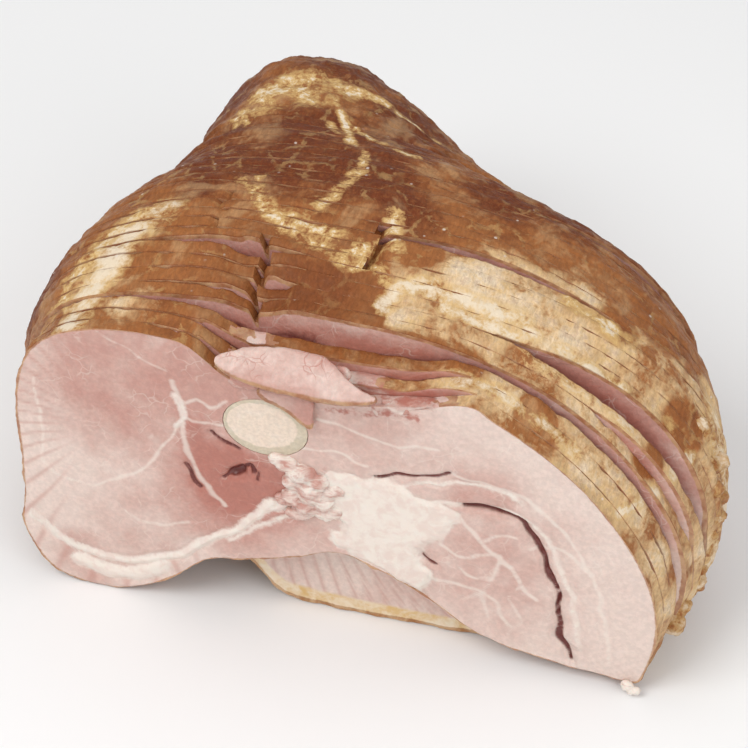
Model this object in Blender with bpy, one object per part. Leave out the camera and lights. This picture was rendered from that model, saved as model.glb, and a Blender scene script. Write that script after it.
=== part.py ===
"""A spiral-sliced half ham lying on its side, its cut face towards -Y and its shank towards +Y.

Lengths below are in millimetres and MM turns them into metres. +Z is up and the ham rests on z = 0.
While the pieces are shaped, the cut face lies in y = 0. BOX_CENTRE then brings them over the origin.
Angles go round the leg bone as seen from the front: 0 is +X and 90 is up.
"""

import math
import random

import bmesh
import bpy
import numpy as np

MM = 0.001

# Middle of the finished ham's box, seen from above, as (x, y) before it is brought over the origin.
BOX_CENTRE = (6.25, 98.55)

# The slicing. Neighbouring slices stay SLIT apart, and each rim wanders in and out by RIM_WANDER.
PITCH = 5.5
SLICES = 22
SLIT = 0.5
RIM_POINTS = 52
RIM_WANDER = 0.6
LENGTH = 206.0

# Where slices stand open: after which slice, middle and half width of the opening as angles, width at the rim.
GAPS = (
    (3, 102, 52, 8.0),
    (3, 12, 34, 2.2),
    (5, 3, 27, 4.8),
    (7, 112, 38, 3.6),
    (10, 38, 27, 3.0),
    (17, 8, 24, 2.6),
)
# A gap is made up for over this many of the slices behind it, which are cut thinner there.
SLICES_BEHIND_GAP = 5

# The cut face, as (x, z) seen from the front, anticlockwise from the middle of the underside.
FACE_RIM = (
    (-6, 0), (20, 0), (52, 3), (78, 4), (98, 2), (110, 3), (115, 17), (116, 36), (111, 56), (98, 77),
    (80, 97), (58, 113), (30, 124), (0, 126), (-32, 120), (-60, 123), (-84, 119), (-99, 107),
    (-105, 85), (-106, 60), (-107, 38), (-107, 20), (-94, 3), (-76, 0), (-54, 6), (-36, 8),
)
# The foremost slices hang clear of the table under this arch, as (x, z). It is lower by ARCH_STEP in each
# slice behind the first.
ARCH = ((-70, 0), (-54, 11), (-42, 23), (-29, 27), (-12, 32), (6, 39), (20, 35), (36, 27), (52, 15), (66, 9), (92, 4))
ARCH_STEP = 3.0
ARCH_SLICES = 2
# Behind them a crease runs on along the underside. It fades out by CREASE_DEPTH.
CREASE_X, CREASE_WIDTH, CREASE_HEIGHT, CREASE_DEPTH = -40.0, 30.0, 20.0, 75.0
# The top of the foremost slices is torn away between these places, down to one of these heights in each slice.
TORN_LEFT, TORN_RIGHT = -40.0, 52.0
TORN_STEEPNESS = (12.0, 24.0)
TORN_TOPS = (108.5, 113.0, 118.0)
# A cut along the ham parts the rims of these slices at SPLIT_X.
SPLIT_SLICES = (4, 5, 6, 7)
SPLIT_X, SPLIT_DEPTH = -30.0, 3.0

# Girth of the ham behind the cut face. Each row holds the depth, the left and right sides, the bottom and
# the top, the x of the crest, the height of the widest place, and how boxy the two shoulders are.
GIRTH = (
    (0, -107, 129, 0, 127, -11, 37, 3.4, 2.2),
    (25, -117, 130, 0, 131, -11, 42, 3.2, 2.2),
    (50, -116, 130, 0, 135, -13, 48, 3.0, 2.2),
    (75, -110, 122, 0, 136, -16, 52, 2.7, 2.2),
    (100, -96, 108, 0, 132, -23, 56, 2.4, 2.2),
    (120, -89, 77, 0, 127, -35, 57, 2.4, 1.9),
    (140, -87, 45, 0, 124, -44, 56, 2.5, 1.8),
    (160, -84, 20, 1, 122, -47, 57, 2.5, 1.9),
    (180, -77, -4, 6, 110, -48, 58, 2.4, 2.0),
    (197, -69, -22, 17, 96, -48, 60, 2.2, 2.0),
    (LENGTH, -66, -30, 30, 86, -48, 60, 2.0, 2.0),
)
UNDERSIDE_BOXINESS = 3.0
# The meat settles on the table by this much, below SETTLED_TO.
SETTLING, SETTLED_TO = 2.0, 20.0
# Over this depth the cut face's own outline passes into the girth.
BLEND_DEPTH = 40.0

# The leg bone: depth, x, z and half width along it.
BONE = (
    (0, -18, 91, 14.5),
    (25, -20, 89, 13.0),
    (70, -27, 82, 10.5),
    (SLICES * PITCH, -35, 73, 11.0),
    (LENGTH, -48, 60, 10.5),
)
BONE_FLATTENING = 0.84
BONE_SIDES = 26
BONE_CLEARANCE = 0.5

SHANK_RINGS = 12

# The torn-off top, folded forward over the cut face: stations along x with the lower and upper edge of the
# flap, measured up along its slope, and the slope itself as (y, z) from the hanging rim to the fold.
FLAP_EDGES = (
    (-33, 14, 16.5), (-29, 12, 19), (-24, 10.3, 21), (-17, 9.2, 22.3), (-9, 8.5, 22.8), (-1, 8.3, 22.8),
    (6, 8.5, 20), (12, 9.2, 16), (17, 10, 13.5), (21, 11.3, 13.2),
)
FLAP_SLOPE = ((-7.4, 104.6), (-7.0, 110), (-3.6, 115.4), (1.2, 119.6), (6.6, 122.6))
FLAP_THICKNESS = 3.8
FLAP_ROWS = 5

# The end of the next slice down, which shows below the flap, lying against the cut face.
SECOND_OUTLINE = (
    (-22, 111), (-19, 105.5), (-13.6, 103.4), (-9, 101), (-5, 97.8), (-2.6, 95.8), (-1, 96.6), (-0.5, 101),
    (-0.5, 106), (-1, 111),
)
SECOND_THICKNESS = 2.6

COLOURS = {
    "cut meat": (0.78, 0.50, 0.44),
    "shank rind": (0.32, 0.13, 0.045),
    "bone": (0.82, 0.72, 0.58),
}


def clear_scene():
    for obj in list(bpy.data.objects):
        bpy.data.objects.remove(obj)


def material(name, roughness):
    made = bpy.data.materials.new(name)
    made.use_nodes = True
    shader = made.node_tree.nodes["Principled BSDF"]
    shader.inputs["Base Color"].default_value = (*COLOURS[name], 1)
    shader.inputs["Roughness"].default_value = roughness
    return made


def spline(points, count, closed=False):
    """count points along a Catmull-Rom curve through points, evenly spaced along it."""
    p = np.array(points, float)
    n = len(p)
    fine = []
    for i in range(n if closed else n - 1):
        a, b, c, d = (p[(i + k) % n] if closed else p[min(max(i + k, 0), n - 1)] for k in (-1, 0, 1, 2))
        for t in np.arange(0, 1, 1 / 16):
            fine.append(b + 0.5 * t * (c - a + t * (2 * a - 5 * b + 4 * c - d + t * (3 * b - a - 3 * c + d))))
    fine.append(p[0] if closed else p[-1])
    fine = np.array(fine)
    run = np.concatenate([[0], np.cumsum(np.linalg.norm(np.diff(fine, axis=0), axis=1))])
    at = np.linspace(0, run[-1], count, endpoint=not closed)
    return np.stack([np.interp(at, run, column) for column in fine.T], axis=1)


def row_at(table, depth):
    """The table's values at this depth, evenly between its rows."""
    rows = np.array(table, float)
    return [np.interp(depth, rows[:, 0], column) for column in rows.T[1:]]


def ease(t):
    t = np.clip(t, 0, 1)
    return t * t * (3 - 2 * t)


def bump(distance):
    """1 at distance 0, falling smoothly to 0 at distance 1."""
    return ease(1 - np.abs(distance))


def girth_outline(depth):
    left, right, bottom, top, crest, middle, boxy_left, boxy_right = row_at(GIRTH, depth)
    turn = np.radians(np.arange(-90, 270, 2))
    c, s = np.cos(turn), np.sin(turn)
    power = np.where(s < 0, UNDERSIDE_BOXINESS, np.where(c > 0, boxy_right, boxy_left))
    wide = np.where(c > 0, right - crest, crest - left)
    high = np.where(s > 0, top - middle, middle - bottom)
    x = crest + wide * np.sign(c) * np.abs(c) ** (2 / power)
    z = middle + high * np.sign(s) * np.abs(s) ** (2 / power)
    return spline(np.stack([x, z], axis=1), RIM_POINTS, closed=True)


def outline(depth):
    """The ham's outline at a depth, as (x, z) points anticlockwise from the middle of the underside."""
    share = ease(depth / BLEND_DEPTH)
    points = (1 - share) * spline(FACE_RIM, RIM_POINTS, closed=True) + share * girth_outline(depth)
    settled = SETTLING * (1 - np.clip(points[:, 1] / SETTLED_TO, 0, 1))
    points[:, 1] = np.maximum(points[:, 1] - settled, 0)
    crease = CREASE_HEIGHT * ease(1.25 - depth / CREASE_DEPTH) * (depth > ARCH_SLICES * PITCH)
    x, z = points[:, 0], points[:, 1]
    points[:, 1] += crease * bump((x - CREASE_X) / CREASE_WIDTH) * ease((50 - z) / 25)
    return points


def bone_at(depth):
    """x, z, half width and half height of the leg bone at a depth."""
    x, z, radius = row_at(BONE, depth)
    return x, z, radius, radius * BONE_FLATTENING


def slice_outline(number):
    """The outline of one slice, with the arch, the torn top and its own small unevenness."""
    points = outline((number - 0.5) * PITCH)
    x, z = points[:, 0].copy(), points[:, 1].copy()
    if number <= ARCH_SLICES:
        arch = np.interp(x, *np.array(ARCH, float).T) - ARCH_STEP * (number - 1)
        points[:, 1] = np.where(z < 45, np.maximum(arch, z), z)
    if number <= len(TORN_TOPS):
        torn = np.minimum((x - TORN_LEFT) / TORN_STEEPNESS[0], (TORN_RIGHT - x) / TORN_STEEPNESS[1])
        points[:, 1] += (TORN_TOPS[number - 1] - z) * ease(torn) * (z > TORN_TOPS[number - 1])
    if number in SPLIT_SLICES:
        above = np.where(z > 90, np.abs(x - SPLIT_X), np.inf)
        points[np.argmin(above), 1] -= SPLIT_DEPTH
    draw = random.Random(number)
    turn = np.linspace(0, 2 * math.pi, RIM_POINTS, endpoint=False)
    wander = sum(draw.uniform(-1, 1) * np.sin(waves * turn + draw.uniform(0, 6.28)) for waves in (1, 2, 3, 5, 8))
    away = points - points.mean(axis=0)
    points += RIM_WANDER * wander[:, None] * away / np.linalg.norm(away, axis=1)[:, None]
    points[:, 1] = np.maximum(points[:, 1], 0)
    return points


def turns_round_bone(points, depth):
    x, z, _, _ = bone_at(depth)
    return np.arctan2(points[:, 1] - z, points[:, 0] - x)


def gap_behind(number, degrees):
    """How much wider than SLIT the cut behind this slice stands open at the rim, for each angle."""
    total = np.zeros(len(degrees))
    for after, middle, half, width in GAPS:
        if after == number:
            total += width * bump(((degrees - middle + 180) % 360 - 180) / half)
    return total


def rim_shifts(degrees):
    """For each slice, how far back the gaps push its front and its back at the rim, for each angle."""
    gaps = [gap_behind(number, degrees) for number in range(1, SLICES + 1)]
    front = np.zeros(len(degrees))
    shifts = []
    for i, gap in enumerate(gaps):
        back = front - sum(gaps[max(0, i - SLICES_BEHIND_GAP):i]) / SLICES_BEHIND_GAP
        shifts.append((front, back))
        front = back + gap
    return shifts


def reach_at(points, depth, degrees):
    """How far outline points lie from the bone's middle, in each of these directions."""
    x, z, _, _ = bone_at(depth)
    turn = np.degrees(turns_round_bone(points, depth))
    order = np.argsort(turn)
    return np.interp(degrees, turn[order], np.hypot(points[:, 0] - x, points[:, 1] - z)[order], period=360)


def build(name, rings, closed_lengthways, made_of):
    """One object from rings of (x, y, z) points: joined one to the next, the ends capped or joined up."""
    mesh = bmesh.new()
    rows = []
    for ring in rings:
        moved = [(x - BOX_CENTRE[0], y - BOX_CENTRE[1], z) for x, y, z in ring]
        rows.append([mesh.verts.new([MM * value for value in point]) for point in moved])
    pairs = list(zip(rows, rows[1:])) + ([(rows[-1], rows[0])] if closed_lengthways else [])
    for near, far in pairs:
        for i in range(len(near)):
            j = (i + 1) % len(near)
            mesh.faces.new((near[i], near[j], far[j], far[i]))
    if not closed_lengthways:
        mesh.faces.new(rows[0])
        mesh.faces.new(rows[-1])
    bmesh.ops.recalc_face_normals(mesh, faces=mesh.faces)
    data = bpy.data.meshes.new(name)
    mesh.to_mesh(data)
    mesh.free()
    data.materials.append(made_of)
    data.shade_smooth()
    data.set_sharp_from_angle(angle=math.radians(35))
    obj = bpy.data.objects.new(name, data)
    bpy.context.scene.collection.objects.link(obj)
    return obj


def bore_ring(turn, depth):
    """Points of the hole for the bone at a depth, one in each direction of turn."""
    x, z, wide, high = bone_at(depth)
    wide, high = wide + BONE_CLEARANCE, high + BONE_CLEARANCE
    reach = 1 / np.hypot(np.cos(turn) / wide, np.sin(turn) / high)
    return np.stack([x + reach * np.cos(turn), np.full(len(turn), depth), z + reach * np.sin(turn)], axis=1)


def rim_ring(points, depths):
    return np.stack([points[:, 0], depths, points[:, 1]], axis=1)


def make_slices(meat):
    """Each slice is flat at the bone and leans back towards its rim behind every gap."""
    directions = np.arange(-180, 181, 2.0)
    full_reach = reach_at(outline(BLEND_DEPTH), BLEND_DEPTH, directions)
    for number, (front, back) in enumerate(rim_shifts(directions), 1):
        at_bone = (number - 1) * PITCH
        points = slice_outline(number)
        turn = turns_round_bone(points, at_bone)
        degrees = np.degrees(turn)
        share = reach_at(points, at_bone, degrees) / np.interp(degrees, directions, full_reach)
        rings = [
            bore_ring(turn, at_bone),
            rim_ring(points, at_bone + share * np.interp(degrees, directions, front)),
            rim_ring(points, at_bone + PITCH - SLIT + share * np.interp(degrees, directions, back)),
            bore_ring(turn, at_bone + PITCH - SLIT),
        ]
        build(f"slice_{number:02d}", rings, True, meat)


def make_shank(rind):
    """The uncut end: closed round the bone at its front, domed at its far end."""
    start = SLICES * PITCH
    rings = []
    for step in range(SHANK_RINGS):
        depth = start + (LENGTH - start) * math.sin(math.pi / 2 * step / (SHANK_RINGS - 1))
        points = outline(depth)
        rings.append(rim_ring(points, np.full(RIM_POINTS, depth)))
    turn = turns_round_bone(outline(start), start)
    rings += [bore_ring(turn, LENGTH), bore_ring(turn, start)]
    build("shank_end", rings, True, rind)


def make_bone(made_of):
    turn = np.linspace(0, 2 * math.pi, BONE_SIDES, endpoint=False)
    rings = []
    for depth in [row[0] for row in BONE]:
        x, z, wide, high = bone_at(depth)
        rings.append(np.stack([x + wide * np.cos(turn), np.full(BONE_SIDES, depth), z + high * np.sin(turn)], axis=1))
    build("bone", rings, False, made_of)


def make_flap(meat):
    """The folded slice: a leaf that follows FLAP_SLOPE, its rim hanging in front of the cut face."""
    slope = spline(FLAP_SLOPE, 40)
    run = np.concatenate([[0], np.cumsum(np.linalg.norm(np.diff(slope, axis=0), axis=1))])
    rings = []
    for x, low, high in FLAP_EDGES:
        ring = []
        for side in (0, 1):
            for row in range(FLAP_ROWS):
                share = row / (FLAP_ROWS - 1)
                at = low + (high - low) * (1 - share if side else share)
                y, z = (np.interp(at, run, column) for column in slope.T)
                dy, dz = (np.interp(at + 1, run, column) - np.interp(at - 1, run, column) for column in slope.T)
                long = math.hypot(dy, dz)
                out = FLAP_THICKNESS * side
                ring.append((x, y - out * dz / long, z + out * dy / long))
        rings.append(ring)
    build("folded_slice", rings, False, meat)


def make_second(meat):
    points = np.array(SECOND_OUTLINE)
    near = rim_ring(points, np.full(len(points), -0.4))
    far = rim_ring(points, np.full(len(points), -0.4 - SECOND_THICKNESS))
    build("second_slice", [near, far], False, meat)


def main():
    clear_scene()
    meat = material("cut meat", 0.45)
    make_slices(meat)
    make_shank(material("shank rind", 0.5))
    make_bone(material("bone", 0.55))
    make_flap(meat)
    make_second(meat)


if __name__ == "__main__":
    main()
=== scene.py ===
"""Dresses the spiral-sliced ham: cut meat, browned rind, bone, and the slice folded over the cut face.

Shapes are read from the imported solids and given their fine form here. Places on the ham are in millimetres
from the foot of the cut face: x to the right, y back into the ham, z up. to_frame turns them into metres.
"""

import math
import random

import bpy
import numpy as np
from bpy.props import FloatProperty, FloatVectorProperty, IntProperty, PointerProperty
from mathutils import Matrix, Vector, noise


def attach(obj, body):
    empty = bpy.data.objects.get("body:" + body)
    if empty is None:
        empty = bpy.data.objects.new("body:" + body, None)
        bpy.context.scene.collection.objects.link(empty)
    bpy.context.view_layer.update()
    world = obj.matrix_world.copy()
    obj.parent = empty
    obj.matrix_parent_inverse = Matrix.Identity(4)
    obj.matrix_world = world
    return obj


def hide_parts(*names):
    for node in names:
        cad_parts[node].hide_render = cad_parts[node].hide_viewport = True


bl_info = {
    "name": "Spiral-sliced ham",
    "version": (1, 0, 0),
    "blender": (4, 5, 0),
    "location": "View3D > Sidebar > Ham",
    "description": "Models and colours a spiral-sliced half ham over its packed solids",
    "category": "Object",
}

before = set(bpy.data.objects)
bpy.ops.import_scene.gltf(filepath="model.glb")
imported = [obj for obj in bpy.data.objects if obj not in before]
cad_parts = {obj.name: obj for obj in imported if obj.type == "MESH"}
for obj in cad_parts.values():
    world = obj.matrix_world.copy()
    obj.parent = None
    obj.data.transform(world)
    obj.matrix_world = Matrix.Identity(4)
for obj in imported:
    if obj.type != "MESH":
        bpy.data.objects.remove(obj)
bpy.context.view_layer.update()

MM = 0.001
SLICES = sorted(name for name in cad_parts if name.startswith("slice_"))
# Where the bone's middle lies in the cut face.
BONE_IN_FACE = (-18.0, 91.0)
# How far a slice's bore stands off the bone, and how far from the bone's middle its points lie at most.
BORE_GAP = 0.12
BORE_REACH = 15.2
# The value of a mark far outside the lines and areas that it measures from.
OUTSIDE = -20.0


def vertex_places(obj):
    """The places of an object's vertices in its mesh, in metres."""
    points = np.empty(len(obj.data.vertices) * 3)
    obj.data.vertices.foreach_get("co", points)
    return points.reshape(-1, 3)


def bone_rings():
    """Depth, x, z, half width and half height of the bone at each of its rings, in metres."""
    points = vertex_places(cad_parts["bone"])
    rings = []
    for depth in np.unique(np.round(points[:, 1], 4)):
        ring = points[np.abs(points[:, 1] - depth) < 0.0002]
        low, high = ring.min(axis=0), ring.max(axis=0)
        rings.append([depth, *((low + high) / 2)[[0, 2]], *((high - low) / 2)[[0, 2]]])
    return np.array(rings)


# The bone's rings, brought into the ham's millimetres, whose zero ZERO gives in the frame.
BONE = bone_rings()
ZERO = np.array([BONE[0, 1] - BONE_IN_FACE[0] * MM, BONE[0, 0], 0.0])
BONE[:, 1] -= ZERO[0]
BONE[:, 0] -= ZERO[1]
BONE /= MM


def to_frame(points):
    return np.asarray(points, float) * MM + ZERO


def points_of(obj):
    """The places of an object's vertices, in the ham's millimetres."""
    return (vertex_places(obj) - ZERO) / MM


def bone_at(depth):
    """x, z, half width and half height of the bone at a depth."""
    return [np.interp(depth, BONE[:, 0], column) for column in BONE.T[1:]]


# Lines and areas of the cut face, as (x, z). A line comes after its half width.
FAT_SEAMS = (
    (1.2, ((-49, 97), (-46, 92), (-46, 87), (-49, 84))),
    (1.9, ((-104, 29), (-99, 25), (-90, 18), (-78, 15), (-64, 17), (-55, 20), (-42, 31), (-29, 42),
           (-16, 57))),
    (3.6, ((-88, 11), (-78, 8), (-68, 9), (-58, 15))),
    (2.0, ((-12, 62), (-4, 66), (5, 70), (16, 73), (28, 74))),
    (1.6, ((-20, 52), (-8, 60), (0, 66))),
    (0.8, ((5, 62), (-7, 54), (-21, 45), (-32, 35))),
    (0.8, ((28, 75), (40, 80), (52, 82), (64, 81), (68, 78))),
    (0.9, ((34, 70), (46, 72), (60, 74), (70, 71), (78, 62), (84, 48), (88, 32), (90, 14))),
)
# Faint threads of fat, which don't break up as the seams do.
THREADS = (
    (0.2, ((-74, 120), (-63, 114), (-51, 108))),
    (0.8, ((-49, 104), (-48, 99), (-47, 92), (-47, 84))),
    (0.8, ((-47, 84), (-45, 72), (-40, 61), (-33, 51))),
    (0.5, ((-98, 94), (-97, 74), (-97, 55), (-90, 50), (-80, 50), (-71, 55), (-62, 62), (-51, 79),
           (-47, 88))),
    (0.5, ((-47, 92), (-42, 97), (-36, 96), (-31, 100))),
    (0.45, ((-47, 88), (-38, 88), (-30, 90))),
    (0.8, ((49, 65), (55, 57), (59, 53), (63, 51), (69, 41), (75, 35))),
    (0.6, ((41, 52), (50, 49), (59, 53))),
    (0.6, ((38, 35), (49, 35), (59, 31), (65, 20))),
    (0.5, ((63, 51), (60, 42), (56, 33), (58, 22))),
    (0.5, ((69, 41), (66, 33), (69, 24), (66, 16))),
    (0.5, ((55, 57), (60, 62), (67, 62))),
    (0.5, ((48, 44), (52, 40), (60, 42))),
    (0.5, ((50, 28), (56, 33))),
    (0.7, ((45, 85), (68, 81), (81, 71), (92, 53), (98, 33), (101, 12))),
    (0.5, ((-20, 108), (-2, 112), (14, 112), (30, 108))),
    (0.5, ((0, 100), (12, 97), (26, 94), (40, 95))),
    (0.5, ((-10, 84), (4, 86), (16, 82))),
    (0.5, ((-70, 40), (-58, 36), (-46, 40))),
    (0.5, ((72, 58), (82, 60), (93, 52))),
)
FAT_PAD = (
    (3, 75), (15, 76), (26, 77), (33, 71), (46, 70), (49, 64), (43, 56), (38, 48), (38, 34), (37, 24),
    (29, 32),
    (19, 37), (11, 40), (5, 47), (8, 54), (3, 62),
)
DARK_MUSCLE = (
    (-47, 82), (-42, 89), (-32, 81), (-24, 79), (-14, 76), (-9, 68), (-13, 58), (-20, 51), (-30, 45),
    (-38, 49),
    (-44, 59),
)
SMALL_MUSCLE = ((30, 75), (38, 79), (51, 81), (63, 80), (66, 78), (59, 75), (46, 73), (34, 72))
# Open seams and holes: half width, depth and line. Their insides are painted dark as shade.
CRACKS = (
    (0.75, 2.4, (
        (50, 72), (56, 73), (62, 72.5), (68, 69), (72, 63), (76, 55), (79, 47), (82, 38), (83, 29),
        (84, 17), (88, 8),
    )),
    (0.4, 1.2, ((19, 77), (26, 80), (33, 81), (45, 84.5))),
    (0.5, 1.4, ((-37, 84), (-33, 81), (-28, 78))),
    (0.6, 1.2, ((-46, 66), (-44, 62), (-41, 58))),
    (1.3, 3.2, ((-30.5, 66.5), (-28.5, 67.5), (-26.5, 68.5))),
    (0.6, 1.8, ((-26.5, 69), (-23, 71.5), (-22.5, 69))),
    (0.45, 1.0, ((-33, 64.5), (-31, 66.5))),
    (0.4, 0.8, ((-21, 69), (-20.5, 66.5))),
    (0.5, 1.2, ((36, 45), (40, 42))),
    (0.7, 1.5, ((8, 117), (18, 117), (27, 119))),
)
# Rosier meat in the cut face: x, z, radius and strength.
ROSY = (
    (-66, 103, 30, 0.75), (-38, 108, 22, 0.8), (-55, 75, 20, 0.5), (-30, 58, 24, 0.9), (-62, 38, 22, 0.4),
    (6, 103, 26, 0.45), (58, 46, 26, 0.5), (55, 78, 13, 0.6), (25, 88, 22, 0.3), (-2, 50, 16, 0.5),
    (-95, 100, 16, 0.3), (-84, 14, 12, 0.5),
)
# Bands of fat on the rind, as half width and (x, y, z) line: cream, then yellow.
CREAM_STREAKS = (
    (6.5, (
        (-83, -2, 118), (-84, 10, 119), (-82, 20, 121), (-80, 30, 124), (-78, 40, 126), (-73, 48, 129),
        (-68, 56, 131),
    )),
    (3.5, ((14, 26, 129), (18, 34, 131), (27, 37, 131), (38, 36, 129), (48, 36, 127), (56, 37, 125),
           (63, 34, 121))),
    (2.5, ((27, 37, 131), (34, 31, 129), (46, 30, 126), (58, 30, 122))),
    (4.0, ((63, 26, 119), (74, 26, 114), (87, 26, 106), (98, 25, 97))),
    (2.5, ((72, 33, 118), (86, 32, 110), (94, 34, 104))),
    (2.5, ((34, 9, 123), (58, 10, 115), (70, 9, 107), (84, 8, 96))),
    (2.5, ((99, 6, 77), (106, 14, 76), (113, 24, 78), (117, 34, 80))),
    (9.0, ((124, 54, 78), (130, 48, 62), (131, 42, 46), (130, 34, 34), (128, 27, 22))),
    (3.0, ((118, 18, 16), (123, 20, 22), (126, 26, 20))),
)
YELLOW_STREAKS = (
    (5.5, ((-64, 122, 120), (-60, 132, 122), (-56, 140, 123), (-51, 146, 123), (-44, 149, 123))),
    (5.0, ((-44, 149, 123), (-37, 148, 124), (-29, 145, 124))),
    (2.6, ((-29, 147, 122), (-20, 147, 119))),
    (2.2, ((-16, 146, 118), (-8, 143, 116), (-4, 141, 115), (4, 138, 112), (12, 132, 109), (20, 124, 108))),
    (8.0, ((-58, 128, 123), (-52, 136, 124), (-46, 140, 124), (-42, 136, 125))),
    (2.4, ((-62, 124, 121), (-60, 117, 123))),
    (1.8, ((-34, 140, 124), (-30, 132, 125), (-24, 122, 126), (-18, 106, 130), (-11, 99, 132),
           (-9, 90, 134))),
    (2.2, ((-9, 86, 134), (-11, 78, 135), (-14, 68, 136), (-20, 58, 136), (-26, 52, 136))),
    (2.2, ((-20, 120, 126), (-12, 113, 128), (-3, 109, 129), (6, 104, 129))),
    (1.0, ((-42, 68, 135), (-40, 76, 135))),
    (1.6, ((-30, 120, 126), (-26, 114, 127), (-20, 110, 128))),
    (4.2, ((-43, 71, 135), (-39, 65, 135), (-34, 58, 135), (-29, 54, 135))),
    (3.0, ((-29, 54, 135), (-23, 50, 135), (-16, 46, 135), (-7, 43, 134), (0, 45, 134), (8, 50, 134))),
    (4.0, ((-24, 56, 136), (-18, 52, 136), (-8, 50, 135))),
    (2.6, ((-5, 43, 134), (0, 38, 133), (8, 41, 133), (14, 36, 131))),
    (5.0, ((-100, 6, 102), (-94, 12, 110), (-92, 24, 114), (-88, 34, 119), (-84, 44, 123), (-76, 54, 127))),
    (3.0, ((8, 66, 135), (10, 56, 135), (14, 48, 134))),
    (4.0, ((70, 52, 121), (82, 50, 114), (94, 50, 104))),
    (3.0, ((107, 36, 90), (112, 44, 82), (116, 52, 74))),
)
# Round patches on the rind: x, y, z and radius.
YELLOW_PATCHES = (
    (-40, 22, 0, 16), (-20, 20, 0, 18), (10, 20, 0, 22), (42, 24, 0, 18), (-44, 150, 122, 5), (4, 46, 134, 5),
)
TAN_PATCHES = (
    (34, 48, 132, 20), (42, 46, 130, 26), (56, 40, 126, 30), (72, 32, 118, 30), (88, 24, 103, 30),
    (98, 18, 90, 26),
    (106, 12, 74, 20), (112, 8, 56, 17), (116, 10, 34, 17), (46, 14, 120, 22), (20, 22, 126, 12),
    (64, 10, 110, 20),
    (86, 8, 92, 18), (75, 58, 119, 14), (100, 52, 100, 12), (-70, 12, 122, 9), (34, 66, 132, 16),
    (118, 24, 20, 20), (67, 50, 125, 11), (125, 26, 46, 18), (-84, 20, 118, 11), (-76, 46, 128, 9),
    (120, 60, 70, 16),
)
BROWN_PATCHES = (
    (20, 52, 136, 11), (27, 70, 136, 18), (41, 82, 132, 21), (57, 76, 129, 15), (46, 13, 122, 8),
    (70, 9, 109, 8),
    (116, 38, 90, 12), (88, 54, 115, 9), (98, 70, 104, 14), (34, 14, 124, 6), (104, 24, 84, 7),
)
DARK_PATCHES = (
    (-38, 80, 136, 20), (-10, 88, 134, 26), (-37, 108, 129, 22), (-60, 88, 127, 16), (-5, 116, 125, 22),
    (-4, 142, 114, 20), (-60, 68, 130, 10), (10, 70, 136, 12), (-64, 112, 120, 14), (-36, 170, 116, 22),
    (-18, 26, 132, 13), (-6, 27, 131, 11), (-27, 24, 131, 8), (40, 96, 128, 18), (-76, 96, 108, 20),
    (-44, 190, 96, 26), (60, 96, 114, 16), (-20, 196, 90, 26), (80, 100, 90, 20), (-72, 142, 104, 22),
    (-106, 34, 98, 16),
)


class HamSizes(bpy.types.PropertyGroup):
    """How finely the ham is modelled, and how rough its surfaces are."""

    around: IntProperty(name="Around", description="Steps round a slice's rim", default=420, min=64, max=1200)
    face_around: IntProperty(name="Face around", description="Steps round a foremost slice", default=600,
                             min=64)
    face_rings: IntProperty(name="Face rings", description="Rings from bone to rim in the cut face",
                            default=92)
    rim_round: FloatProperty(name="Rim rounding", description="Rounding of a slice's corners, in mm",
                             default=0.22)
    wrinkle: FloatProperty(name="Wrinkles", description="Height of the rind's wrinkles, in mm", default=0.9)
    pore: FloatProperty(name="Pores", description="Height of the rind's fine grain, in mm", default=0.22)


class HamColours(bpy.types.PropertyGroup):
    """The ham's colours."""

    pale: FloatVectorProperty(
        name="Pale lean", description="Palest cut meat", subtype="COLOR", default=(0.76, 0.61, 0.54))
    # Rosy lean is also painted onto the walls of the gaps between slices as shade.
    rosy: FloatVectorProperty(
        name="Rosy lean", description="Pink cut meat", subtype="COLOR", default=(0.53, 0.27, 0.22))
    # Dark lean also stands for painted shade on the walls of the gaps, away from the rim.
    dark: FloatVectorProperty(
        name="Dark lean", description="Muscle by the bone", subtype="COLOR", default=(0.43, 0.15, 0.11))
    fat: FloatVectorProperty(name="Fat", description="White fat", subtype="COLOR", default=(0.83, 0.74, 0.66))
    # The crack colour is painted shade inside open seams and cracks, and painted shadow deep in the widest
    # gap's walls.
    crack_shade: FloatVectorProperty(
        name="Crack", description="Inside of a seam", subtype="COLOR", default=(0.16, 0.035, 0.028))
    brown: FloatVectorProperty(
        name="Brown rind", description="Usual rind", subtype="COLOR", default=(0.32, 0.114, 0.032))
    # Darkest rind is also painted as shade along the rind's edge where neighbouring slices have parted.
    smoked: FloatVectorProperty(
        name="Dark rind", description="Darkest rind", subtype="COLOR", default=(0.15, 0.032, 0.007))
    tan: FloatVectorProperty(
        name="Tan rind", description="Lightest rind", subtype="COLOR", default=(0.67, 0.45, 0.23))
    cream: FloatVectorProperty(
        name="Cream fat", description="Fat on the rind", subtype="COLOR", default=(0.82, 0.70, 0.54))
    yellow: FloatVectorProperty(
        name="Yellow fat", description="Browned fat", subtype="COLOR", default=(0.68, 0.45, 0.18))
    bone: FloatVectorProperty(
        name="Bone", description="Marrow side of the bone", subtype="COLOR", default=(0.80, 0.66, 0.54))
    # The bone's edge colour is also drawn wider on the bone's lower right as painted shade.
    bone_rim: FloatVectorProperty(
        name="Bone edge", description="Hard edge of the bone", subtype="COLOR", default=(0.62, 0.53, 0.40))


class HamStage(bpy.types.PropertyGroup):
    """Camera."""

    azimuth: FloatProperty(
        name="Azimuth", description="Camera's turn to the right", default=math.radians(15), subtype="ANGLE")
    elevation: FloatProperty(
        name="Elevation", description="Camera's height", default=math.radians(42), subtype="ANGLE")
    distance: FloatProperty(name="Distance", description="Camera to ham", default=0.95, subtype="DISTANCE")
    lens: FloatProperty(name="Lens", description="Focal length in mm", default=129.95)


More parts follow.
